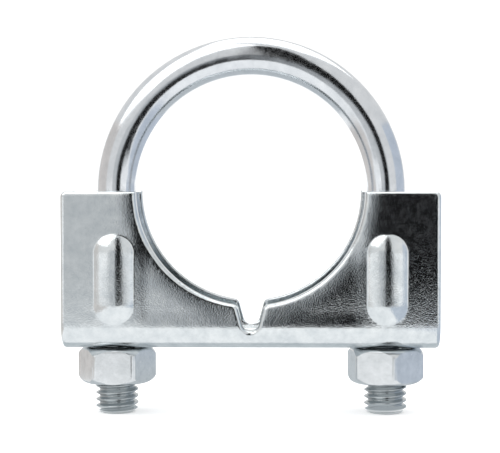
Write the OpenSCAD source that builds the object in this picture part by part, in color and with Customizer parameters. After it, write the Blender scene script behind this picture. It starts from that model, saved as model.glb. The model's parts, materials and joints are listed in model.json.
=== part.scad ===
// U-bolt pipe clamp: a round-rod U-bolt, a pressed channel saddle and two hex nuts.
// Origin: centre of the clamped pipe. +Y runs along the pipe, +Z towards the bow, +X across the legs.

/* [Pipe] */
// Diameter of the pipe that the saddle's seats fit
pipe_d = 42; // [40:0.5:44]

/* [U-bolt] */
// Diameter of the plain rod, which is the blank that the thread is rolled on
rod_d = 7.1; // [6.8:0.1:7.4]
// Room between the pipe and the inside of the bow, on the radius
bow_clearance = 0.7; // [0.3:0.1:1.2]
// Distance from the pipe's centre down to the ends of the legs
leg_length = 41.6; // [40:0.1:46]

/* [Thread] */
// Major diameter of the thread
thread_d = 8; // [7.8:0.1:8]
// Thread pitch
thread_pitch = 1.25; // [1:0.25:1.25]
// Length of thread on each leg
thread_length = 25; // [20:1:28]
// Length of the chamfer on each leg's end
thread_chamfer = 0.9; // [0.6:0.1:1.2]

/* [Nuts] */
// Width across the flats
nut_flats = 13; // [12:0.5:13]
// Height of each nut
nut_height = 6.8; // [5.5:0.1:6.8]
// Radial running clearance between the nut's bore and the thread's crests
nut_clearance = 0.05; // [0.02:0.01:0.1]
// Gap that lets a nut turn under the saddle
nut_gap = 0.15; // [0.05:0.05:0.3]
// Turn of the left nut about its leg, in degrees
left_nut_angle = 0; // [-30:1:30]
// Turn of the right nut about its leg, in degrees
right_nut_angle = -20; // [-30:1:30]

/* [Saddle] */
// Length of the saddle across the legs
saddle_length = 69.6; // [68:0.2:76]
// Outside width of the channel, along the pipe
saddle_width = 16; // [15.5:0.1:18]
// Height from the web's underside to the top of the walls
saddle_height = 29; // [28.5:0.1:31]
// Thickness of the sheet
sheet_t = 2.2; // [1.8:0.1:2.4]
// Outside radius of the two long bends
bend_r = 4.2; // [3.6:0.1:5]
// Diameter of the two web holes
leg_hole_d = 9.4; // [9:0.1:10]

/* [Beads] */
// Width of each stiffening bead
bead_width = 8.2; // [7:0.1:8.6]
// Height of each bead, end to end
bead_height = 16.5; // [14:0.5:16.5]
// How far a bead stands out of the wall
bead_rise = 1.3; // [0.8:0.1:1.5]
// Distance from the pipe's centre down to the middle of a bead
bead_drop = 16; // [15.5:0.1:16]
// Distance between a bead's middle and the saddle's middle
bead_offset = 25; // [24.6:0.1:27]

/* [Notch] */
// Width of the notch where it meets the seat
notch_width = 4.8; // [4:0.1:6]
// Radius of the notch's round bottom
notch_r = 1.6; // [1.2:0.1:1.8]
// Distance from the pipe's centre down to the bottom of the notch
notch_depth = 25.6; // [24:0.1:25.8]

/* [Hidden] */

$fn = 96;
cut = 1;
zinc = [0.80, 0.83, 0.86];
zinc_satin = [0.74, 0.77, 0.80];

seat_r = pipe_d / 2;
rod_r = rod_d / 2;
bow_r = seat_r + bow_clearance + rod_r;

// ISO metric thread: the flanks meet the core 0.6134 of the pitch below the crest.
thread_r = thread_d / 2;
core_r = thread_r - 0.6134 * thread_pitch;
crest_flat = thread_pitch / 8;
root_flat = thread_pitch / 4;
flank_run = (thread_pitch - crest_flat - root_flat) / 2;
thread_end_z = -leg_length;
thread_top_z = thread_end_z + thread_length;
thread_turns = floor((thread_length - thread_chamfer) / thread_pitch);

nut_corner_r = nut_flats / 2 / cos(30);
nut_top_z = -saddle_height - nut_gap;
nut_bore_r = thread_r + nut_clearance;
nut_chamfer_angle = 30;
nut_face_r = nut_flats / 2 * 0.955;
nut_chamfer_h = (nut_corner_r - nut_face_r) * tan(nut_chamfer_angle);
nut_sink_h = 0.5;

// The bead's outside is part of a cylinder with a ball at each end, sunk into the wall.
bead_ball_r = (pow(bead_width / 2, 2) + pow(bead_rise, 2)) / (2 * bead_rise);
bead_run = bead_height - bead_width;
bead_centre_y = saddle_width / 2 + bead_rise - bead_ball_r;

// A body of revolution about a vertical axis, from points given as [radius, height].
module turned(points) {
    rotate_extrude() polygon(points);
}

// Half of the bow: a quarter ring has no straight ends, so the legs take over at the pipe's centre line.
module bow() {
    rotate([90, 0, 0])
        rotate_extrude(angle = 180)
            translate([bow_r, 0]) circle(r = rod_r);
}

// One groove of the thread, as a ring, with its lower edge at height z.
function groove(z) = [
    [thread_r, z],
    [core_r, z + flank_run],
    [core_r, z + flank_run + root_flat],
    [thread_r, z + thread_pitch - crest_flat]
];

// A leg seen in half section: chamfered end, thread grooves, run-out and plain rod.
module leg() {
    first_z = thread_end_z + thread_chamfer;
    grooves = [for (i = [0 : thread_turns - 2]) each groove(first_z + i * thread_pitch)];
    turned(concat(
        [[0, thread_end_z], [core_r - 0.1, thread_end_z]],
        grooves,
        [[thread_r, thread_top_z - thread_pitch], [rod_r, thread_top_z], [rod_r, 0], [0, 0]]
    ));
}

module u_bolt() {
    color(zinc) {
        bow();
        for (side = [-1, 1]) translate([side * bow_r, 0, 0]) leg();
    }
}

// The round-bottomed outline of a channel, from its rim at height 0 down to its web.
module channel_outline(width, depth, corner_r, rim) {
    translate([-width / 2, -depth + corner_r]) square([width, depth - corner_r + rim]);
    translate([-width / 2 + corner_r, -depth]) square([width - 2 * corner_r, corner_r + cut]);
    for (side = [-1, 1]) translate([side * (width / 2 - corner_r), -depth + corner_r]) circle(r = corner_r);
}

module channel() {
    rotate([90, 0, 90])
        linear_extrude(saddle_length, center = true)
            difference() {
                channel_outline(saddle_width, saddle_height, bend_r, 0);
                channel_outline(saddle_width - 2 * sheet_t, saddle_height - sheet_t, bend_r - sheet_t, cut);
            }
}

// The rounded bar that shapes a bead, standing on the +Y wall.
module bead_bar(r) {
    translate([0, bead_centre_y, -bead_drop]) {
        cylinder(r = r, h = bead_run, center = true);
        for (end = [-1, 1]) translate([0, 0, end * bead_run / 2]) sphere(r = r);
    }
}

module bead_shell() {
    intersection() {
        bead_bar(bead_ball_r);
        translate([-bead_width / 2 - cut, saddle_width / 2 - sheet_t / 2, -saddle_height])
            cube([bead_width + 2 * cut, sheet_t / 2 + bead_rise + cut, saddle_height]);
    }
}

// The four places of the beads: two on each wall, in line with the legs.
module at_beads() {
    for (side = [-1, 1]) translate([side * bead_offset, 0, 0]) {
        children();
        mirror([0, 1, 0]) children();
    }
}

module seat_cut() {
    rotate([90, 0, 0]) cylinder(r = seat_r, h = saddle_width + 2 * cut, center = true, $fn = 180);
}

module notch_cut() {
    bottom_z = -notch_depth + notch_r;
    rotate([90, 0, 0])
        linear_extrude(saddle_width + 2 * cut, center = true) {
            translate([0, bottom_z]) circle(r = notch_r, $fn = 48);
            polygon([
                [-notch_r, bottom_z],
                [notch_r, bottom_z],
                [notch_width / 2, -seat_r + cut],
                [-notch_width / 2, -seat_r + cut]
            ]);
        }
}

module leg_holes() {
    for (side = [-1, 1])
        translate([side * bow_r, 0, -saddle_height - cut])
            cylinder(d = leg_hole_d, h = bend_r + cut);
}

module saddle() {
    color(zinc) difference() {
        union() {
            channel();
            at_beads() bead_shell();
        }
        at_beads() bead_bar(bead_ball_r - sheet_t);
        seat_cut();
        notch_cut();
        leg_holes();
    }
}

// A hex nut with both faces chamfered and both mouths of the bore countersunk.
module nut() {
    half = nut_height / 2;
    sink_r = nut_bore_r + nut_sink_h;
    difference() {
        intersection() {
            cylinder(r = nut_corner_r, h = nut_height, center = true, $fn = 6);
            turned([
                [0, -half],
                [nut_face_r, -half],
                [nut_corner_r, -half + nut_chamfer_h],
                [nut_corner_r, half - nut_chamfer_h],
                [nut_face_r, half],
                [0, half]
            ]);
        }
        turned([
            [0, -half - cut],
            [sink_r, -half - cut],
            [sink_r, -half],
            [nut_bore_r, -half + nut_sink_h],
            [nut_bore_r, half - nut_sink_h],
            [sink_r, half],
            [sink_r, half + cut],
            [0, half + cut]
        ]);
    }
}

module left_nut() {
    color(zinc_satin)
        translate([-bow_r, 0, nut_top_z - nut_height / 2]) rotate(left_nut_angle) nut();
}

module right_nut() {
    color(zinc_satin)
        translate([bow_r, 0, nut_top_z - nut_height / 2]) rotate(right_nut_angle) nut();
}

u_bolt();
saddle();
left_nut();
right_nut();
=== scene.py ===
import json
import math
from types import SimpleNamespace

import bmesh
import bpy
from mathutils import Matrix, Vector


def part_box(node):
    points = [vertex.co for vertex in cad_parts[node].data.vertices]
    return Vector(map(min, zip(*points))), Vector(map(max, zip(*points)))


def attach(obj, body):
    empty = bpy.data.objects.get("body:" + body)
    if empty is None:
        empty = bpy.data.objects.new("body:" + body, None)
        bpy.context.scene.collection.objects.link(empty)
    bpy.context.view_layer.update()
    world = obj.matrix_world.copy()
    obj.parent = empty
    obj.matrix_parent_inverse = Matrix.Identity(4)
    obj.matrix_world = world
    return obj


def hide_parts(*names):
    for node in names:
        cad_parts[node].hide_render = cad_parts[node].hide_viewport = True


bl_info = {
    "name": "U-bolt pipe clamp",
    "version": (1, 0, 0),
    "blender": (4, 5, 0),
    "location": "3D View > Sidebar > Clamp",
    "description": "Models a zinc-plated U-bolt pipe clamp around its packed CAD frame",
    "category": "Mesh",
}

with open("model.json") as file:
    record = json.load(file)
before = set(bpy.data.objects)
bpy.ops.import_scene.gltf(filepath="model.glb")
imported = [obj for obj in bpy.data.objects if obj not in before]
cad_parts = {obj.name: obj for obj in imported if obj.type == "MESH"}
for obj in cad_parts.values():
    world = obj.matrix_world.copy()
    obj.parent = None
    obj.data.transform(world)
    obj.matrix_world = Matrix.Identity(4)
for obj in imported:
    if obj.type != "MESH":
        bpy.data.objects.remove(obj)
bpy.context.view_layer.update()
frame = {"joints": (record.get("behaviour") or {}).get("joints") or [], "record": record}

# Modelling is done at one unit to the millimetre, because bevels and booleans lose small edges at true
# size.
MM = 0.001
FULL_TURN = 2 * math.pi

# In millimetres, like every length below that isn't said to be in metres:
# how far the CAD rod's facets lie inside its true radius,
FACET_DEPTH = 0.002
# how far a cutting tool reaches past the piece that it cuts,
SPARE = 1.0
# and how near a point has to be to count as lying on a plane, exactly or after a bevel or a boolean.
ON_PLANE = 1e-4
NEAR_PLANE = 1e-3
NEAR_RIM = 2e-3
NEAR_EDGE = 0.01

# Facets round a rod, a thread, a drill and a hole, and a part of one of their steps, by which a tool is
# turned to keep its edges off the piece's own.
ROUND_STEPS = 96
OFF_STEP = FULL_TURN / ROUND_STEPS / 3

# Edges that meet at more than this angle stay crisp.
SHARP_ANGLE = math.radians(32)
NORMAL_WEIGHT = 80


def frame_sizes():
    """The sizes that the CAD frame fixes, in metres."""
    bolt_low, bolt_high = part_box("u_bolt")
    saddle_low, saddle_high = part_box("saddle")
    nut_low, nut_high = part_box("left_nut")
    joints = {joint["name"]: joint for joint in frame["joints"]}
    mount = frame["record"]["mounts"][0]
    leg_x = joints["right_nut_turn"]["pos_m"][0]
    return SimpleNamespace(
        leg_x=leg_x,
        rod_r=bolt_high.z - leg_x - FACET_DEPTH * MM,
        thread_r=bolt_high.y,
        leg_end_z=bolt_low.z,
        lead=FULL_TURN / frame["record"]["behaviour"]["couplings"][0]["ratio"],
        seat_r=mount["dims"]["r_mm"] * MM,
        saddle_w=mount["dims"]["length_mm"] * MM,
        saddle_l=saddle_high.x - saddle_low.x,
        web_z=saddle_low.z,
        bead_rise=saddle_high.y - mount["dims"]["length_mm"] * MM / 2,
        nut_r=(nut_high.x - nut_low.x) / 2,
        nut_low_z=nut_low.z,
        nut_high_z=nut_high.z,
    )


FIXED = frame_sizes()


# ---------------------------------------------------------------- settings

# The rolled thread's length is shared by the U-bolt's shape and by the painted shade on its thread.
THREAD_LENGTH = 25


def length(name, description, default):
    """A length in metres, given in millimetres."""
    return bpy.props.FloatProperty(
        name=name, description=description, default=default * MM, precision=5, unit="LENGTH"
    )


def angle(name, description, default):
    """An angle in radians, given in degrees."""
    return bpy.props.FloatProperty(
        name=name, description=description, default=math.radians(default), subtype="ANGLE"
    )


class ClampRodSettings(bpy.types.PropertyGroup):
    """Sizes of the U-bolt that the frame doesn't fix"""
    thread_length: length("Thread length", "Length of rolled thread on each leg", THREAD_LENGTH)
    end_chamfer: length("End chamfer", "Length of the chamfer on each leg's end", 0.9)
    fade: length("Run-out", "Length over which the thread fades into the plain rod", 1.6)
    root_radius: length("Root radius", "Rounding at the bottom of the thread", 0.18)


class ClampSaddleSettings(bpy.types.PropertyGroup):
    """Sizes of the pressed saddle that the frame doesn't fix"""
    sheet: length("Sheet", "Thickness of the sheet", 2.2)
    bend_r: length("Bend radius", "Outside radius of the two long bends", 4.2)
    hole_r: length("Hole radius", "Radius of the two web holes", 4.7)
    outer_round: length("Outer rounding", "Rounding of the sheet's outside edges", 0.72)
    inner_round: length("Inner rounding", "Rounding of the sheet's inside edges", 0.5)
    bead_w: length("Bead width", "Width of each stiffening bead", 7.35)
    bead_h: length("Bead height", "Height of each bead, end to end", 16.5)
    bead_x: length("Bead offset", "Distance of each bead from the saddle's middle", 25)
    bead_drop: length("Bead drop", "Distance of each bead below the pipe's centre", 16)
    notch_w: length("Notch width", "Width of the notch where it meets the seat", 4.8)
    notch_r: length("Notch radius", "Radius of the notch's round bottom", 1.6)
    notch_drop: length("Notch drop", "Distance of the notch's bottom below the pipe's centre", 25.6)
    notch_lip: length("Notch lip", "Radius where the notch meets the seat", 1.2)
    corner_round: length("Corner rounding", "Rounding of the walls' upper corners", 1.0)
    bead_foot: length("Bead foot", "Width of the fillet round each bead", 0.18)
    sink_w: length("Sink width", "Width over which the walls sink beside each bead", 2.6)
    sink_drop: length("Sink drop", "How far the walls sink between the beads", 0.13)
    roll_w: length("Roll width", "Width of the band beside each seat that the press rolls down", 3.8)
    roll_drop: length("Roll drop", "How far that band rolls down at the seat's edge", 0.26)
    grid: length("Grid", "Size of the faces on the walls", 0.8)


class ClampNutSettings(bpy.types.PropertyGroup):
    """Sizes and turns of the nuts that the frame doesn't fix"""
    corner_round: length("Corner rounding", "Rounding of the upright corners", 0.6)
    face_r: length("Face radius", "Radius of the flat ring on each end", 5.25)
    end_depth: length("End depth", "How far the turned ends reach down the corners", 2.6)
    rim_round: length("Rim rounding", "Rounding of the flats' ends, mostly turned away at the corners", 0.7)
    clearance: length("Thread clearance", "Clearance between the nut's thread and the leg's", 0.05)
    sink: length("Countersink", "Depth of the countersink at each mouth", 0.5)
    left_turn: angle("Left turn", "Turn of the left nut about its leg", 0)
    right_turn: angle("Right turn", "Turn of the right nut about its leg", -20)


def millimetres(settings):
    """The same settings as plain numbers, with every length in millimetres and every angle in radians."""
    values = {}
    for key in settings.__annotations__:
        scale = 1 / MM if settings.bl_rna.properties[key].unit == "LENGTH" else 1
        values[key] = getattr(settings, key) * scale
    return SimpleNamespace(**values)


def fixed_millimetres():
    return SimpleNamespace(**{key: value / MM for key, value in vars(FIXED).items()})


# ---------------------------------------------------------------- modelling tools

def eased(value):
    """Eases a value from 0 to 1 in and out, and holds it there on either side."""
    value = min(max(value, 0.0), 1.0)
    return value * value * (3 - 2 * value)


def deselect_all():
    if bpy.context.object and bpy.context.object.mode != "OBJECT":
        bpy.ops.object.mode_set(mode="OBJECT")
    bpy.ops.object.select_all(action="DESELECT")


def edit(piece):
    """Opens one piece in edit mode, with nothing else selected."""
    deselect_all()
    bpy.context.view_layer.objects.active = piece
    piece.select_set(True)
    bpy.ops.object.mode_set(mode="EDIT")
    bpy.ops.mesh.select_mode(type="VERT")


def done(piece):
    bpy.ops.object.mode_set(mode="OBJECT")
    return piece


def select_where(piece, kind, test):
    """In edit mode, selects the VERT, EDGE or FACE elements that pass a test, and nothing else."""
    bpy.ops.mesh.select_all(action="DESELECT")
    bpy.ops.mesh.select_mode(type=kind)
    bm = bmesh.from_edit_mesh(piece.data)
    elements = {"VERT": bm.verts, "EDGE": bm.edges, "FACE": bm.faces}[kind]
    for element in elements:
        if test(element):
            element.select_set(True)
    bmesh.update_edit_mesh(piece.data)


def drawn(name, points, close=False):
    """A line drawn point by point: a plane is merged to one vertex, which is then extruded along."""
    deselect_all()
    bpy.ops.mesh.primitive_plane_add(size=1, location=(0, 0, 0))
    piece = bpy.context.object
    piece.name = piece.data.name = name
    edit(piece)
    bpy.ops.mesh.select_all(action="SELECT")
    bpy.ops.mesh.merge(type="CENTER")
    bpy.ops.transform.translate(value=points[0])
    for start, end in zip(points, points[1:]):
        bpy.ops.mesh.extrude_region_move(TRANSFORM_OT_translate={"value": Vector(end) - Vector(start)})
    if close:
        bpy.ops.mesh.select_all(action="SELECT")
        bpy.ops.mesh.edge_face_add()
    return done(piece)


def clean(piece, gap=0.002):
    """Merges doubles and turns the faces outwards."""
    edit(piece)
    bpy.ops.mesh.select_all(action="SELECT")
    bpy.ops.mesh.remove_doubles(threshold=gap)
    bpy.ops.mesh.normals_make_consistent(inside=False)
    return done(piece)


def turned(name, profile, steps=ROUND_STEPS):
    """A lathe-turned solid, from (radius, height) points that start and end on the axis."""
    piece = drawn(name, [(radius, 0, height) for radius, height in profile])
    edit(piece)
    bpy.ops.mesh.select_all(action="SELECT")
    bpy.ops.mesh.spin(steps=steps, angle=FULL_TURN, center=(0, 0, 0), axis=(0, 0, 1))
    done(piece)
    return clean(piece)


def apply_modifier(piece, kind, **settings):
    """Adds a modifier, sets it and applies it."""
    deselect_all()
    bpy.context.view_layer.objects.active = piece
    piece.select_set(True)
    modifier = piece.modifiers.new(kind.title(), kind)
    for key, value in settings.items():
        setattr(modifier, key, value)
    bpy.ops.object.modifier_apply(modifier=modifier.name)
    return piece


def remove(piece):
    bpy.data.objects.remove(piece)


def combine(piece, other, operation):
    """Cuts, joins or intersects a piece with another, which is used up."""
    apply_modifier(piece, "BOOLEAN", object=other, operation=operation, solver="EXACT")
    remove(other)
    return piece


def copy(piece, name):
    """A copy with its own mesh."""
    deselect_all()
    bpy.context.view_layer.objects.active = piece
    piece.select_set(True)
    bpy.ops.object.duplicate()
    twin = bpy.context.object
    twin.name = twin.data.name = name
    return twin


def place(piece, turn=0.0, move=(0, 0, 0), scale=1.0):
    """Turns a piece about the upright axis, moves and scales it, and applies that to its mesh."""
    deselect_all()
    bpy.context.view_layer.objects.active = piece
    piece.select_set(True)
    piece.rotation_euler = (0, 0, turn)
    piece.location = move
    piece.scale = (scale, scale, scale)
    bpy.ops.object.transform_apply(location=True, rotation=True, scale=True)
    return piece


def join(pieces):
    deselect_all()
    for piece in pieces:
        piece.select_set(True)
    bpy.context.view_layer.objects.active = pieces[0]
    bpy.ops.object.join()
    return bpy.context.object


def finish_piece(piece, name, node, material):
    """Brings a piece to true size, shades it, and ties it to the CAD node that it stands for, which is the
    only one of the body of the same name."""
    if not piece.data.polygons:
        raise RuntimeError(name + " came out empty")
    place(piece, scale=MM)
    piece.name = piece.data.name = name
    piece.data.materials.clear()
    piece.data.materials.append(material)
    deselect_all()
    bpy.context.view_layer.objects.active = piece
    piece.select_set(True)
    bpy.ops.object.shade_smooth_by_angle(angle=SHARP_ANGLE)
    apply_modifier(piece, "WEIGHTED_NORMAL", keep_sharp=True, weight=NORMAL_WEIGHT)
    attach(piece, node)
    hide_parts(node)
    return piece


# ---------------------------------------------------------------- threads

# Half the angle between an ISO thread's flanks, and its root's depth below the crest as a share of the lead
HALF_FLANKS = math.radians(30)
ROOT_DEPTH = 0.6134
# Where the left leg's crest crosses the +X side, above the leg's end, as a share of the lead
THREAD_PHASE = 0.35


def thread_profile(crest_r, root_r, lead, root_radius):
    """One turn of the thread in half section, as (radius, height), from the start of one crest to the next.
    The crest is rounded over a fifth of the lead, by an eighteenth of it, and the root is an arc between
    the two flanks."""
    crest = lead / 5
    bulge = lead / 18
    middle = (crest + lead) / 2
    half_root = root_radius * math.cos(HALF_FLANKS)
    flank = (lead - crest) / 2 - half_root
    edge_r = crest_r - bulge
    foot_r = edge_r - flank / math.tan(HALF_FLANKS)
    depth = max(foot_r - root_r, 0.0)
    points = [(crest_r - bulge * step ** 2, crest * (step + 1) / 2) for step in (-1, -0.5, 0, 0.5, 1)]
    points += [(edge_r + (foot_r - edge_r) * t, crest + flank * t) for t in (0.5, 1.0)]
    for step in (-0.5, 0.0, 0.5):
        points.append((foot_r - depth * (1 - step ** 2), middle + step * half_root))
    points += [(edge_r + (foot_r - edge_r) * t, lead - flank * t) for t in (1.0, 0.5)]
    return points


def threaded_bar(name, centre_x, low, high, crest_r, root_r, lead, root_radius, start):
    """A solid bar with a right-hand thread all along, cut square at both heights."""
    turn = thread_profile(crest_r, root_r, lead, root_radius)
    first = math.floor((low - start) / lead) - 1
    last = math.ceil((high - start) / lead) + 1
    heights = [start + k * lead for k in range(first, last)]
    bar = drawn(name, [(radius, 0, height + rise) for height in heights for radius, rise in turn])
    facets = {"steps": ROUND_STEPS, "render_steps": ROUND_STEPS}
    apply_modifier(bar, "SCREW", axis="Z", angle=FULL_TURN, screw_offset=lead, **facets)
    place(bar, move=(centre_x, 0, 0))
    clean(bar)
    edit(bar)
    for height, normal in ((low, (0, 0, -1)), (high, (0, 0, 1))):
        bpy.ops.mesh.select_all(action="SELECT")
        bpy.ops.mesh.bisect(plane_co=(0, 0, height), plane_no=normal, clear_outer=True, use_fill=True)
    done(bar)
    return clean(bar)


# ---------------------------------------------------------------- U-bolt

# Rings along half of the bow
BOW_STEPS = 24
# Width and height of the small break round each leg's flat end
END_BREAK = 0.15
END_LIFT = 0.08
# A corner further than this share of a step from the nearest lengthwise edge is an extra one.
EXTRA_CORNER = 0.02


def start_height(fixed):
    """Height at which the left leg's thread crest crosses the +X side."""
    return fixed.leg_end_z + THREAD_PHASE * fixed.lead


def dissolve_extra_corners(piece, height, centre_x):
    """Takes out the corners that a square cut leaves between the lengthwise edges of a threaded bar."""
    spacing = FULL_TURN / ROUND_STEPS

    def is_extra(vert):
        if abs(vert.co.z - height) > ON_PLANE:
            return False
        place_on_ring = math.atan2(vert.co.y, vert.co.x - centre_x) / spacing
        return abs(place_on_ring - round(place_on_ring)) > EXTRA_CORNER

    edit(piece)
    select_where(piece, "VERT", is_extra)
    bpy.ops.mesh.dissolve_verts()
    done(piece)


def fade_thread(bar, centre_x, rod_r, low, high):
    """Eases the thread's crests and roots into the plain rod between two heights."""
    place(bar, move=(-centre_x, 0, 0))
    group = bar.vertex_groups.new(name="fade")
    for vert in bar.data.vertices:
        group.add([vert.index], eased((vert.co.z - low) / (high - low)), "REPLACE")
    apply_modifier(
        bar, "CAST", cast_type="CYLINDER", factor=1.0, size=rod_r, use_radius_as_size=False,
        use_z=False, vertex_group="fade",
    )
    bar.vertex_groups.clear()
    place(bar, move=(centre_x, 0, 0))


def rod_leg(rod):
    """The left leg and half of the bow, open at the crown: rolled thread, chamfered end and plain rod."""
    fixed = fixed_millimetres()
    x = -fixed.leg_x
    root_r = fixed.thread_r - ROOT_DEPTH * fixed.lead
    top = fixed.leg_end_z + rod.thread_length
    bar = threaded_bar(
        "leg", x, fixed.leg_end_z - fixed.lead, top + fixed.lead, fixed.thread_r, root_r, fixed.lead,
        rod.root_radius, start_height(fixed),
    )
    fade_thread(bar, x, fixed.rod_r, top - rod.fade, top)
    blank_r = fixed.thread_r + SPARE / 2
    blank_top = top + 2 * fixed.lead
    blank = turned("blank", [
        (0, fixed.leg_end_z),
        (root_r - END_BREAK, fixed.leg_end_z),
        (root_r, fixed.leg_end_z + END_LIFT),
        (blank_r, fixed.leg_end_z + rod.end_chamfer * (blank_r - root_r) / (fixed.thread_r - root_r)),
        (blank_r, blank_top),
        (0, blank_top),
    ])
    # Half a step of turn keeps the blank's facets from meeting the thread's edges.
    place(blank, turn=math.pi / ROUND_STEPS, move=(x, 0, 0))
    combine(bar, blank, "INTERSECT")
    clean(bar)
    edit(bar)
    bpy.ops.mesh.select_all(action="SELECT")
    bpy.ops.mesh.bisect(plane_co=(0, 0, top), plane_no=(0, 0, 1), clear_outer=True)
    done(bar)
    dissolve_extra_corners(bar, top, x)
    edit(bar)
    select_where(bar, "EDGE", lambda edge: all(vert.co.z > top - NEAR_PLANE for vert in edge.verts))
    bpy.ops.mesh.extrude_region_move(TRANSFORM_OT_translate={"value": (0, 0, -top)})
    bpy.ops.mesh.spin(steps=BOW_STEPS, angle=-math.pi / 2, center=(0, 0, 0), axis=(0, 1, 0))
    return done(bar)


def u_bolt(rod):
    """Both legs and the bow: the left half, and a copy of it, which is turned half round rather than
    mirrored so that its thread stays right-handed."""
    left = rod_leg(rod)
    right = place(copy(left, "right_half"), turn=math.pi)
    return clean(join([left, right]))


# ---------------------------------------------------------------- nuts

HEX_SIDES = 6
CORNER_SEGMENTS = 5
RIM_SEGMENTS = 4
# Points along the quarter ellipse of a turned end, and how far that blank stands out past the hexagon
END_STEPS = 12
TURNED_SPARE = 0.1
TURNED_RISE = 0.02
# How much thinner than the tap's root the drill is, and the rounding at the bottom of the tap's thread
DRILL_UNDERSIZE = 0.2
TAP_ROOT_RADIUS = 0.12
# A nut whose height is further than this from the frame's wasn't cut cleanly.
HEIGHT_GAP = 0.01


def hex_nut(nut, side, turn):
    """A hex nut with turned ends on one leg, tapped in mesh with that leg's thread."""
    fixed = fixed_millimetres()
    x = side * fixed.leg_x
    height = fixed.nut_high_z - fixed.nut_low_z
    middle = (fixed.nut_high_z + fixed.nut_low_z) / 2
    half = height / 2
    deselect_all()
    bpy.ops.mesh.primitive_cylinder_add(vertices=HEX_SIDES, radius=fixed.nut_r, depth=height)
    piece = bpy.context.object
    place(piece, turn=math.radians(30))
    edit(piece)
    select_where(piece, "EDGE", lambda edge: abs(edge.verts[0].co.z - edge.verts[1].co.z) > half)
    bpy.ops.mesh.bevel(offset=nut.corner_round, segments=CORNER_SEGMENTS, profile=0.5)
    select_where(piece, "EDGE", lambda edge: abs(edge.verts[0].co.z - edge.verts[1].co.z) < half)
    bpy.ops.mesh.bevel(offset=nut.rim_round, segments=RIM_SEGMENTS, profile=0.5)
    done(piece)
    # The ends are turned to a quarter ellipse, which cuts deepest at the corners. The turned blank is a
    # hair taller than the hexagon, so that no two faces lie in one plane.
    reach = fixed.nut_r + TURNED_SPARE - nut.face_r
    top = half + TURNED_RISE
    turns = [math.pi / 2 * i / END_STEPS for i in range(END_STEPS + 1)]
    end = [(nut.face_r + reach * math.sin(t), top - nut.end_depth * (1 - math.cos(t))) for t in turns]
    outline = [(0, -top)] + [(r, -z) for r, z in end] + list(reversed(end)) + [(0, top)]
    combine(piece, place(turned("turned_blank", outline), turn=OFF_STEP), "INTERSECT")
    place(piece, turn=turn, move=(x, 0, middle))
    crest_r = fixed.thread_r + nut.clearance
    root_r = fixed.thread_r - ROOT_DEPTH * fixed.lead + nut.clearance
    # The drill is a little thinner than the tap, which then takes all of its bore away.
    drill_r = root_r - DRILL_UNDERSIZE
    mouth_r = crest_r + nut.sink / 2
    drill = turned("drill", [
        (0, -half - SPARE),
        (mouth_r + SPARE, -half - SPARE),
        (drill_r, -half + mouth_r - drill_r),
        (drill_r, half - mouth_r + drill_r),
        (mouth_r + SPARE, half + SPARE),
        (0, half + SPARE),
    ])
    place(drill, turn=OFF_STEP, move=(x, 0, middle))
    combine(piece, drill, "DIFFERENCE")
    tap = threaded_bar(
        "tap", -fixed.leg_x, fixed.nut_low_z - SPARE, fixed.nut_high_z + SPARE, crest_r, root_r, fixed.lead,
        TAP_ROOT_RADIUS, start_height(fixed),
    )
    if side > 0:
        place(tap, turn=math.pi)
    combine(piece, tap, "DIFFERENCE")
    clean(piece, gap=0.001)
    heights = [vert.co.z - middle for vert in piece.data.vertices]
    if abs(max(heights) - half) > HEIGHT_GAP or abs(min(heights) + half) > HEIGHT_GAP:
        raise RuntimeError("the nut wasn't tapped cleanly")
    return piece


# ---------------------------------------------------------------- saddle

# Steps round the arcs of the cut-out, along each bend, and round and up each bead
SEAT_STEP = math.radians(4)
NOTCH_STEPS = 10
LIP_STEPS = 8
BEND_STRIPS = 12
BEAD_STEPS = 64
DOME_STEPS = 10
# Segments of the sheet's outer rims, and of its inner and smaller ones
OUTER_SEGMENTS = 6
INNER_SEGMENTS = 3
# Width, inside a bead's edge, over which the walls' pressing fades out
BEAD_FADE = 1.0
# How near an edge has to be to a bead's or a hole's rim in plan to be rounded with it
RIM_GAP = 0.03


def arc(centre, radius, start, end, steps):
    """Points along an arc from one angle to another, both ends included."""
    return [
        (
            centre[0] + radius * math.cos(start + (end - start) * i / steps),
            centre[1] + radius * math.sin(start + (end - start) * i / steps),
        )
        for i in range(steps + 1)
    ]


def cut_out(saddle, fixed):
    """The right half of a wall's cut-out, from the notch's bottom up to the seat's end, as (x, height)
    points. Heights are from the pipe's centre. A small lip joins the notch's slanted side to the seat."""
    bottom = Vector((0, -saddle.notch_drop + saddle.notch_r))
    mouth = Vector((saddle.notch_w / 2, -fixed.seat_r))
    along = (mouth - bottom - Vector((saddle.notch_r, 0))).normalized()
    into_metal = Vector((along.y, -along.x))
    # The lip's centre is one lip radius into the metal from both the slanted side and the seat's arc.
    foot = bottom + into_metal * (saddle.notch_r + saddle.notch_lip)
    reach = fixed.seat_r + saddle.notch_lip
    across = foot.dot(along)
    centre = foot + along * (-across - math.sqrt(across ** 2 - foot.length_squared + reach ** 2))
    seat_start = math.atan2(centre.y, centre.x)
    side = math.atan2(-into_metal.y, -into_metal.x)
    points = arc(bottom, saddle.notch_r, -math.pi / 2, math.atan2(into_metal.y, into_metal.x), NOTCH_STEPS)
    points += arc(centre, saddle.notch_lip, side, seat_start + math.pi, LIP_STEPS)
    return points + arc((0, 0), fixed.seat_r, seat_start, 0, round(-seat_start / SEAT_STEP))[1:]


def bend_length(saddle):
    """Length of flat sheet that one bend takes, along the sheet's middle."""
    return (saddle.bend_r - saddle.sheet / 2) * math.pi / 2


def unfolded(height, saddle, fixed):
    """Distance from the blank's middle line of a point at this height on a wall."""
    flat_web = fixed.saddle_w / 2 - saddle.bend_r
    return height - (fixed.web_z + saddle.bend_r) + bend_length(saddle) + flat_web


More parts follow.
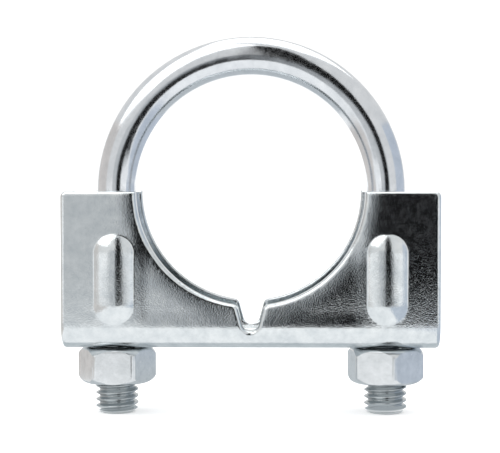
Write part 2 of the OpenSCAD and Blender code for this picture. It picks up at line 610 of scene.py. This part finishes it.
def blank(saddle, fixed):
    """The flat blank at the web's level, with its cut-outs and with rounded rims."""
    end_x = fixed.saddle_l / 2
    edge_y = unfolded(0, saddle, fixed)
    quarter = [(x, unfolded(z, saddle, fixed)) for x, z in cut_out(saddle, fixed)] + [(end_x, edge_y)]
    right = quarter + [(x, -y) for x, y in reversed(quarter)]
    left = [(-x, -y) for x, y in right[1:-1]]
    sheet = drawn("sheet", [(x, y, fixed.web_z) for x, y in right + left], close=True)
    edit(sheet)
    bpy.ops.mesh.select_all(action="SELECT")
    bpy.ops.mesh.remove_doubles(threshold=NEAR_EDGE)
    bpy.ops.mesh.extrude_region_move(TRANSFORM_OT_translate={"value": (0, 0, saddle.sheet)})
    bpy.ops.mesh.select_all(action="SELECT")
    bpy.ops.mesh.normals_make_consistent(inside=False)

    def is_corner(edge):
        upright = abs(edge.verts[0].co.z - edge.verts[1].co.z) > saddle.sheet / 2
        return upright and abs(edge.verts[0].co.x) > end_x - NEAR_EDGE

    select_where(sheet, "EDGE", is_corner)
    bpy.ops.mesh.bevel(offset=saddle.corner_round, segments=CORNER_SEGMENTS, profile=0.5)
    rims = (
        (fixed.web_z, saddle.outer_round, OUTER_SEGMENTS),
        (fixed.web_z + saddle.sheet, saddle.inner_round, INNER_SEGMENTS),
    )
    for level, rounding, segments in rims:
        select_where(
            sheet, "EDGE", lambda edge: all(abs(vert.co.z - level) < NEAR_PLANE for vert in edge.verts)
        )
        bpy.ops.mesh.bevel(offset=rounding, segments=segments, profile=0.5, clamp_overlap=False)
    done(sheet)
    return clean(sheet)


def long_dome(name, radius, tip_z, cut_z, foot_z, run):
    """A dome cut from a ball and drawn out along Y into a capsule, hanging down from a flat top."""
    centre_z = tip_z + radius
    foot_angle = math.acos((centre_z - cut_z) / radius)
    angles = [foot_angle * i / DOME_STEPS for i in range(DOME_STEPS + 1)]
    profile = [(radius * math.sin(angle), centre_z - radius * math.cos(angle)) for angle in angles]
    dome = turned(name, profile + [(profile[-1][0], foot_z), (0, foot_z)], BEAD_STEPS)
    # Half a step of turn leaves no corner on the line where the two ends are drawn apart.
    place(dome, turn=math.pi / BEAD_STEPS)
    edit(dome)
    for side in (1, -1):
        select_where(dome, "VERT", lambda vert: vert.co.y * side > ON_PLANE)
        bpy.ops.transform.translate(value=(0, side * run / 2, 0))
    return done(dome)


def four_of(tool, x, y):
    """Copies of a tool at the four places (+-x, +-y), joined into one."""
    tools = [place(copy(tool, "tool"), move=(x * i, y * j, 0)) for i in (1, -1) for j in (1, -1)]
    remove(tool)
    return join(tools)


def spine_gap(point, x, y, run):
    """Distance in plan from a point to the spine of the nearest bead."""
    beyond = max(abs(abs(point.y) - y) - run / 2, 0)
    return math.hypot(abs(point.x) - x, beyond)


def press_walls(sheet, saddle, fixed, bead_gap):
    """Cuts the walls of the flat blank into a fine grid, then rolls them down beside the seats and sinks
    them a little between the beads, as pressing does."""
    start = unfolded(fixed.web_z + saddle.bend_r, saddle, fixed)
    end = unfolded(0, saddle, fixed)
    across = math.ceil(fixed.saddle_l / saddle.grid)
    along = math.ceil((end - start) / saddle.grid)
    edit(sheet)
    for i in range(1, across):
        bpy.ops.mesh.select_all(action="SELECT")
        x = fixed.saddle_l * (i / across - 0.5)
        bpy.ops.mesh.bisect(plane_co=(x, 0, 0), plane_no=(1, 0, 0))
    for side in (1, -1):
        for i in range(along):
            bpy.ops.mesh.select_all(action="SELECT")
            y = side * (start + (end - start) * i / along)
            bpy.ops.mesh.bisect(plane_co=(0, y, 0), plane_no=(0, 1, 0))
    done(sheet)
    for vert in sheet.data.vertices:
        height = abs(vert.co.y) - end
        beside_seat = 1 - (math.hypot(vert.co.x, height) - fixed.seat_r) / saddle.roll_w
        inside_bead = saddle.bead_x - saddle.bead_w / 2 - abs(vert.co.x)
        rolled = saddle.roll_drop * max(beside_seat, 0) ** 2
        sunk = saddle.sink_drop * eased(inside_bead / saddle.sink_w)
        # The drop fades out towards the bend, so that the bend stays straight, and inside each bead's edge.
        from_bend = eased((abs(vert.co.y) - start) / saddle.sink_w)
        from_bead = eased((bead_gap(vert.co) - saddle.bead_w / 2 + BEAD_FADE) / BEAD_FADE)
        vert.co.z += (rolled + sunk) * from_bend * from_bead
    return sheet


def fold(sheet, saddle, fixed):
    """Folds the blank's two sides up into walls, wrapping each bend round its own centre line."""
    flat = fixed.saddle_w / 2 - saddle.bend_r
    taken = bend_length(saddle)
    centre_z = fixed.web_z + saddle.bend_r
    edit(sheet)
    for side in (1, -1):
        for i in range(BEND_STRIPS + 1):
            bpy.ops.mesh.select_all(action="SELECT")
            y = side * (flat + taken * i / BEND_STRIPS)
            bpy.ops.mesh.bisect(plane_co=(0, y, 0), plane_no=(0, 1, 0))
    done(sheet)
    for vert in sheet.data.vertices:
        side = math.copysign(1, vert.co.y)
        past = abs(vert.co.y) - flat
        if past > 0:
            bend = min(past / taken, 1) * math.pi / 2
            radius = centre_z - vert.co.z
            vert.co.y = side * (flat + radius * math.sin(bend))
            vert.co.z = centre_z - radius * math.cos(bend) + max(past - taken, 0)
    return clean(sheet, gap=0.004)


def saddle_piece(saddle):
    """The pressed saddle: a flat blank, beaded and punched, then folded into a channel."""
    fixed = fixed_millimetres()
    sheet = blank(saddle, fixed)
    inside_z = fixed.web_z + saddle.sheet
    bead_y = unfolded(-saddle.bead_drop, saddle, fixed)
    run = saddle.bead_h - saddle.bead_w
    half = saddle.bead_w / 2
    ball_r = (half ** 2 + fixed.bead_rise ** 2) / (2 * fixed.bead_rise)
    tip_z = fixed.web_z - fixed.bead_rise
    bead = long_dome("bead", ball_r, tip_z, fixed.web_z, fixed.web_z + saddle.sheet / 2, run)
    combine(sheet, four_of(bead, saddle.bead_x, bead_y), "UNION")
    hollow_r = ball_r - saddle.sheet
    hollow = long_dome("hollow", hollow_r, tip_z + saddle.sheet, inside_z, inside_z + SPARE, run)
    combine(sheet, four_of(hollow, saddle.bead_x, bead_y), "DIFFERENCE")
    for side in (1, -1):
        deselect_all()
        bpy.ops.mesh.primitive_cylinder_add(
            vertices=ROUND_STEPS, radius=saddle.hole_r, depth=3 * saddle.sheet,
            location=(side * fixed.leg_x, 0, fixed.web_z),
        )
        combine(sheet, bpy.context.object, "DIFFERENCE")
    clean(sheet)

    def rim_test(level, gap, wanted):
        def test(edge):
            return all(
                abs(vert.co.z - level) < NEAR_RIM and abs(gap(vert.co) - wanted) < RIM_GAP
                for vert in edge.verts
            )
        return test

    def bead_gap(point):
        return spine_gap(point, saddle.bead_x, bead_y, run)

    def hole_gap(point):
        return math.hypot(abs(point.x) - fixed.leg_x, point.y)

    mouth = math.sqrt(hollow_r ** 2 - (ball_r - saddle.sheet - (inside_z - tip_z - saddle.sheet)) ** 2)
    edit(sheet)
    for level, gap, wanted, rounding in (
        (fixed.web_z, bead_gap, half, saddle.bead_foot),
        (inside_z, bead_gap, mouth, saddle.bead_foot),
        (fixed.web_z, hole_gap, saddle.hole_r, saddle.inner_round),
        (inside_z, hole_gap, saddle.hole_r, saddle.inner_round),
    ):
        select_where(sheet, "EDGE", rim_test(level, gap, wanted))
        bpy.ops.mesh.bevel(offset=rounding, segments=INNER_SEGMENTS, profile=0.5)
    done(sheet)
    clean(sheet)
    press_walls(sheet, saddle, fixed, bead_gap)
    return fold(sheet, saddle, fixed)


# ---------------------------------------------------------------- materials

# Noise seldom leaves this range, which is stretched to the whole of a pattern's.
NOISE_LOW = 0.25
NOISE_HIGH = 0.75
NOISE_ROUGHNESS = 0.6
# Size in millimetres of the faint clouds on the floor and the cards
STAGE_CLOUD = 400


def linear(colour):
    """An sRGB hex colour as linear RGBA."""
    channels = [int(colour[i:i + 2], 16) / 255 for i in (1, 3, 5)]
    return [c / 12.92 if c <= 0.04045 else ((c + 0.055) / 1.055) ** 2.4 for c in channels] + [1.0]


def add_node(tree, kind, inputs=None, **settings):
    """Adds a shader node, sets its properties, and sets or links its inputs."""
    node = tree.nodes.new(kind)
    for key, value in settings.items():
        setattr(node, key, value)
    for key, value in (inputs or {}).items():
        if isinstance(value, bpy.types.NodeSocket):
            tree.links.new(value, node.inputs[key])
        else:
            node.inputs[key].default_value = value
    return node


def new_material(name):
    """An empty material: its node tree, its shader and the object coordinates that its patterns lie on."""
    material = bpy.data.materials.new(name)
    material.use_nodes = True
    tree = material.node_tree
    tree.nodes.clear()
    where = add_node(tree, "ShaderNodeTexCoord").outputs["Object"]
    surface = add_node(tree, "ShaderNodeBsdfPrincipled")
    add_node(tree, "ShaderNodeOutputMaterial", {"Surface": surface.outputs["BSDF"]})
    return material, tree, surface, where


def spots(tree, where, size, detail, low, high):
    """Clouded spots of a real size in millimetres, running from one value to another."""
    noise = add_node(tree, "ShaderNodeTexNoise", {
        "Vector": where, "Scale": 1 / (size * MM), "Detail": detail, "Roughness": NOISE_ROUGHNESS,
    })
    return add_node(tree, "ShaderNodeMapRange", {
        "Value": noise.outputs["Fac"], "From Min": NOISE_LOW, "From Max": NOISE_HIGH,
        "To Min": low, "To Max": high,
    }).outputs["Result"]


def zinc(name, finish):
    """Zinc plating on steel. The finish gives its dark and light colour, its lowest and highest roughness,
    and the size and height in millimetres of its grain and of its broad unevenness."""
    material, tree, surface, where = new_material(name)
    swell = spots(tree, where, finish.wave, 1, 0, 1)
    broad = add_node(tree, "ShaderNodeBump", {"Height": swell, "Distance": finish.wave_height * MM})
    grain = spots(tree, where, finish.grain, 2, 0, 1)
    fine = add_node(tree, "ShaderNodeBump", {
        "Height": grain, "Distance": finish.grain_height * MM, "Normal": broad.outputs["Normal"],
    })
    tint = add_node(tree, "ShaderNodeValToRGB", {"Fac": spots(tree, where, finish.cloud, 3, 0, 1)})
    tint.color_ramp.elements[0].color = linear(finish.dark)
    tint.color_ramp.elements[1].color = linear(finish.light)
    colour = tint.outputs["Color"]
    if finish.dull_below is not None:
        # Painted shade: the threaded part is coloured greyer, for the shade between the thread's crests,
        # while the plain rod above it keeps the lighter colour.
        height = add_node(tree, "ShaderNodeSeparateXYZ", {"Vector": where}).outputs["Z"]
        low = add_node(tree, "ShaderNodeMapRange", {
            "Value": height, "From Min": finish.dull_below, "From Max": finish.dull_below - MM,
        })
        grey = add_node(
            tree, "ShaderNodeMix", {"Factor": low.outputs["Result"], "A": colour, "B": linear(finish.dull)},
            data_type="RGBA",
        )
        colour = grey.outputs["Result"]
    surface.inputs["Metallic"].default_value = 1.0
    tree.links.new(colour, surface.inputs["Base Color"])
    tree.links.new(spots(tree, where, finish.cloud / 3, 3, *finish.gloss), surface.inputs["Roughness"])
    tree.links.new(fine.outputs["Normal"], surface.inputs["Normal"])
    return material


def bright_zinc_rod():
    """Bright zinc on drawn rod: nearly a mirror, faintly clouded, so that it shows crisp dark stripes."""
    return zinc("bright_zinc_rod", SimpleNamespace(
        dark="#CCD0D4", light="#E0E3E6", gloss=(0.1, 0.2), grain=0.25, grain_height=0.0015,
        wave=7, wave_height=0.04, cloud=2.6,
        # Painted shade: below the top of the thread the rod is painted this greyer colour, for the shade
        # between its crests.
        dull="#B6BBBD", dull_below=FIXED.leg_end_z + THREAD_LENGTH * MM,
    ))


def bright_zinc_sheet():
    """Bright zinc on pressed sheet: the steel's grain shows through as a fine speckle with dull clouds in
    it. The real grain is too fine to show, so it is drawn coarser."""
    return zinc("bright_zinc_sheet", SimpleNamespace(
        dark="#CAD0D3", light="#E2E6E7", gloss=(0.08, 0.18), grain=0.27, grain_height=0.011,
        wave=12, wave_height=0.04, cloud=2.6, dull_below=None,
    ))


def satin_zinc_nut():
    """Satin zinc on cut nuts: a soft even sheen, a little duller than the rod."""
    return zinc("satin_zinc_nut", SimpleNamespace(
        dark="#CBCFD1", light="#DEE1E3", gloss=(0.18, 0.28), grain=0.35, grain_height=0.004,
        wave=5, wave_height=0.03, cloud=2.0, dull_below=None,
    ))


# ---------------------------------------------------------------- stage

class ClampStageSettings(bpy.types.PropertyGroup):
    """Sizes of the stage round the clamp"""
    floor_size: length("Floor size", "Side of the pale floor", 6000)
    flag_back: length("Flag distance", "Distance of the two flags in front of the clamp", 330)
    flag_split: length("Flag split", "How far the black flag reaches to the left", 5)
    flag_left: length("Flag left edge", "How far the grey flag reaches to the left", 32)
    flag_right: length("Flag right edge", "How far the black flag reaches to the right", 125)
    flag_top: length("Flag top", "Height of the black flag's upper edge", 600)
    grey_top: length("Grey top", "Height of the grey flag's upper edge", 40)
    side_shift: length("Side shift", "How far right of centre the side cards on the floor stand", -12)
    room_reach: length("Room reach", "How far the dim room reaches to each side", 160)
    room_top: length("Room top", "Height up to which the room in front is dim", 60)
    card_start: length("Floor card start", "Distance from the clamp at which their floor cards start", 125)
    lens: bpy.props.FloatProperty(name="Lens", description="Focal length in millimetres", default=104.4)


def plain_material(name, dark, light, lit, glow):
    """A matt surface with a very faint unevenness, which can be lit, shine by itself, or both."""
    material, tree, surface, where = new_material(name)
    tint = add_node(tree, "ShaderNodeValToRGB", {"Fac": spots(tree, where, STAGE_CLOUD, 1, 0, 1)})
    tint.color_ramp.elements[0].color = linear(dark)
    tint.color_ramp.elements[1].color = linear(light)
    surface.inputs["Base Color"].default_value = linear("#000000")
    if lit:
        tree.links.new(tint.outputs["Color"], surface.inputs["Base Color"])
    tree.links.new(tint.outputs["Color"], surface.inputs["Emission Color"])
    surface.inputs["Emission Strength"].default_value = glow
    surface.inputs["Roughness"].default_value = 1.0
    surface.inputs["Specular IOR Level"].default_value = 0.0
    return material


def card(name, width, depth, location, rotation, material):
    """A flat card, modelled lying down and then stood in place."""
    deselect_all()
    bpy.ops.mesh.primitive_plane_add(size=1, location=location, rotation=rotation)
    piece = bpy.context.object
    piece.scale = (width, depth, 1)
    bpy.ops.object.transform_apply(location=True, rotation=True, scale=True)
    piece.name = piece.data.name = name
    piece.data.materials.append(material)
    return piece


def reflected_only(piece):
    """Keeps a card out of everything but the metal's reflections."""
    piece.visible_camera = False
    piece.visible_diffuse = False
    piece.visible_shadow = False
    piece.visible_transmission = False
    piece.visible_volume_scatter = False
    return piece


def soft_light(name, location, target, width, depth, power):
    deselect_all()
    bpy.ops.object.light_add(type="AREA", location=location)
    light = bpy.context.object
    light.name = light.data.name = name
    light.data.shape = "RECTANGLE"
    light.data.size = width
    light.data.size_y = depth
    light.data.energy = power
    light.rotation_euler = (Vector(target) - Vector(location)).to_track_quat("-Z", "Y").to_euler()
    return light


def sky(colour, seen, shed):
    """A plain bright room, which is a little brighter as a backdrop than in the light that it sheds."""
    world = bpy.data.worlds.new("studio")
    world.use_nodes = True
    tree = world.node_tree
    tree.nodes.clear()
    seen_by_camera = add_node(tree, "ShaderNodeLightPath").outputs["Is Camera Ray"]
    strength = add_node(tree, "ShaderNodeMapRange", {
        "Value": seen_by_camera, "To Min": shed, "To Max": seen,
    })
    background = add_node(
        tree, "ShaderNodeBackground", {"Color": linear(colour), "Strength": strength.outputs["Result"]}
    )
    add_node(tree, "ShaderNodeOutputWorld", {"Surface": background.outputs["Background"]})
    bpy.context.scene.world = world


# Places and sizes on the stage, in metres
NEAR_FLOOR_SIZE = 1.2
UNDER_WIDTH = 0.09
UNDER_DEPTH = 0.12
UNDER_Y = 0.055
SIDE_WIDTH = 0.7
SIDE_HEIGHT = 0.24
SIDE_X = 0.4
SIDE_Y = 0.15
SIDE_FLOOR_WIDTH = 0.3
SIDE_FLOOR_DEPTH = 0.6
SIDE_FLOOR_X = 0.2
SIDE_FLOOR_Y = 0.2
KEY_PLACE = (-0.5, -0.35, 0.75)
TOP_PLACE = (0.1, 0.25, 0.9)
LIGHT_SIZE = 0.9
CAMERA_PLACE = (0.00455, -0.272, 0.00355)
CLIP_START = 0.01

# Light power in watts, and the backdrop's strength as it is seen and as it is shed on the clamp
LIGHT_POWER = 3
SKY_SEEN = 1.08
SKY_SHED = 0.88

CAMERA_YAW = math.radians(1.0)
CAMERA_DIP = math.radians(2.15)
SENSOR = 36.0

# Heights in millimetres of the cards that lie on the floor, one just above the other
NEAR_FLOOR_LAYER = 0.5
SIDE_LAYER = 0.7
ROOM_LAYER = 1.0
UNDER_LAYER = 1.5
FLAG_LAYER = 2.0
# How much further back than the flags the dim room stands
ROOM_SETBACK = 10


def front_cards(sizes, floor_z):
    """The dim room and the two flags in front of the clamp, each with a card on the floor before it."""
    room = plain_material("dim_room", "#D0D2D4", "#D6D8DA", lit=False, glow=1.0)
    grey = plain_material("grey_flag", "#9EA1A4", "#A6A9AC", lit=False, glow=1.0)
    black = plain_material("black_flag", "#060607", "#0A0A0B", lit=False, glow=1.0)
    upright = (math.radians(90), 0, 0)
    depth = sizes.flag_back - sizes.card_start
    middle_y = -sizes.card_start - depth / 2
    for name, left, right, top, setback, layer, material in (
        ("room", -sizes.room_reach, sizes.room_reach, sizes.room_top, ROOM_SETBACK * MM, ROOM_LAYER, room),
        ("grey", -sizes.flag_left, -sizes.flag_split, sizes.grey_top, 0, FLAG_LAYER, grey),
        ("black", -sizes.flag_split, sizes.flag_right, sizes.flag_top, 0, FLAG_LAYER, black),
    ):
        x = (left + right) / 2
        width = right - left
        height = top - floor_z
        back = (x, -sizes.flag_back - setback, floor_z + height / 2)
        reflected_only(card(name + "_flag", width, height, back, upright, material))
        low = (x, middle_y, floor_z + layer * MM)
        reflected_only(card(name + "_floor_card", width, depth, low, (0, 0, 0), material))


def side_cards(sizes, floor_z):
    """A warm and a cool card, each upright at one side and lying on the floor, which tint the nuts' flats."""
    warm = plain_material("warm_side", "#D6D1CE", "#DCD7D4", lit=False, glow=1.1)
    cool = plain_material("cool_side", "#C4CCD8", "#CAD2DE", lit=False, glow=1.1)
    upright = (math.radians(90), 0, math.radians(90))
    for name, side, material in (("warm_side", -1, warm), ("cool_side", 1, cool)):
        high = (side * SIDE_X, SIDE_Y, floor_z + SIDE_HEIGHT / 2)
        reflected_only(card(name, SIDE_WIDTH, SIDE_HEIGHT, high, upright, material))
        low = (side * SIDE_FLOOR_X + sizes.side_shift, SIDE_FLOOR_Y, floor_z + SIDE_LAYER * MM)
        floor_card = card(name + "_floor_card", SIDE_FLOOR_WIDTH, SIDE_FLOOR_DEPTH, low, (0, 0, 0), material)
        reflected_only(floor_card)


def stage(sizes):
    """A pale floor under the legs, a bright room, soft lights, and cards that only the metal sees."""
    floor_z = FIXED.leg_end_z
    flat = (0, 0, 0)
    pale = plain_material("pale_floor", "#FBFBFB", "#FFFFFF", lit=True, glow=0.3)
    near = plain_material("near_floor", "#F4F5F6", "#F8F9FA", lit=False, glow=1.2)
    under = plain_material("under_shade", "#CED4D8", "#D4DADE", lit=False, glow=1.0)
    card("floor", sizes.floor_size, sizes.floor_size, (0, 0, floor_z), flat, pale)
    near_place = (0, 0, floor_z + NEAR_FLOOR_LAYER * MM)
    reflected_only(card("near_floor", NEAR_FLOOR_SIZE, NEAR_FLOOR_SIZE, near_place, flat, near))
    front_cards(sizes, floor_z)
    # Painted shade: a grey card, seen only in reflections, puts the shade on the floor under the clamp into
    # the lower halves of the bends.
    under_place = (0, UNDER_Y, floor_z + UNDER_LAYER * MM)
    reflected_only(card("under_card", UNDER_WIDTH, UNDER_DEPTH, under_place, flat, under))
    side_cards(sizes, floor_z)
    sky("#FFFFFF", SKY_SEEN, SKY_SHED)
    for name, place_of_light in (("key", KEY_PLACE), ("top", TOP_PLACE)):
        soft_light(name, place_of_light, (0, 0, 0), LIGHT_SIZE, LIGHT_SIZE, LIGHT_POWER)

    bpy.ops.object.camera_add(
        location=CAMERA_PLACE, rotation=(math.pi / 2 - CAMERA_DIP, 0, CAMERA_YAW)
    )
    camera = bpy.context.object
    camera.name = camera.data.name = "camera"
    camera.data.lens = sizes.lens
    camera.data.sensor_width = SENSOR
    camera.data.clip_start = CLIP_START
    bpy.context.scene.camera = camera
    bpy.context.scene.view_settings.view_transform = "Standard"


# ---------------------------------------------------------------- operators

class CLAMP_OT_u_bolt(bpy.types.Operator):
    """Model the U-bolt: rolled threads, chamfered ends, plain rod and bow"""
    bl_idname = "clamp.u_bolt"
    bl_label = "U-bolt"

    def execute(self, context):
        piece = u_bolt(millimetres(context.scene.clamp_rod))
        finish_piece(piece, "u_bolt_visual", "u_bolt", bright_zinc_rod())
        return {"FINISHED"}


class CLAMP_OT_saddle(bpy.types.Operator):
    """Model the saddle: a beaded, punched and folded sheet"""
    bl_idname = "clamp.saddle"
    bl_label = "Saddle"

    def execute(self, context):
        piece = saddle_piece(millimetres(context.scene.clamp_saddle))
        finish_piece(piece, "saddle_visual", "saddle", bright_zinc_sheet())
        return {"FINISHED"}


class CLAMP_OT_nuts(bpy.types.Operator):
    """Model both hex nuts, each tapped for its own leg"""
    bl_idname = "clamp.nuts"
    bl_label = "Nuts"

    def execute(self, context):
        nut = millimetres(context.scene.clamp_nut)
        satin = satin_zinc_nut()
        for node, side, turn in (("left_nut", -1, nut.left_turn), ("right_nut", 1, nut.right_turn)):
            finish_piece(hex_nut(nut, side, turn), node + "_visual", node, satin)
        return {"FINISHED"}


class CLAMP_OT_stage(bpy.types.Operator):
    """Set up the floor, the lights, the cards and the camera"""
    bl_idname = "clamp.stage"
    bl_label = "Stage"

    def execute(self, context):
        stage(context.scene.clamp_stage)
        return {"FINISHED"}


class CLAMP_PT_panel(bpy.types.Panel):
    """The clamp's operators, in the order in which they are run"""
    bl_idname = "CLAMP_PT_panel"
    bl_label = "U-bolt pipe clamp"
    bl_space_type = "VIEW_3D"
    bl_region_type = "UI"
    bl_category = "Clamp"

    def draw(self, context):
        for operator in OPERATORS:
            self.layout.operator(operator.bl_idname)


SETTINGS = {
    "clamp_rod": ClampRodSettings,
    "clamp_saddle": ClampSaddleSettings,
    "clamp_nut": ClampNutSettings,
    "clamp_stage": ClampStageSettings,
}
OPERATORS = (CLAMP_OT_u_bolt, CLAMP_OT_saddle, CLAMP_OT_nuts, CLAMP_OT_stage)
CLASSES = (*SETTINGS.values(), *OPERATORS, CLAMP_PT_panel)


def register():
    for cls in CLASSES:
        bpy.utils.register_class(cls)
    for name, group in SETTINGS.items():
        setattr(bpy.types.Scene, name, bpy.props.PointerProperty(type=group))


def unregister():
    for name in SETTINGS:
        delattr(bpy.types.Scene, name)
    for cls in reversed(CLASSES):
        bpy.utils.unregister_class(cls)


def main():
    register()
    bpy.ops.clamp.u_bolt()
    bpy.ops.clamp.saddle()
    bpy.ops.clamp.nuts()
    bpy.ops.clamp.stage()


if __name__ == "__main__":
    main()
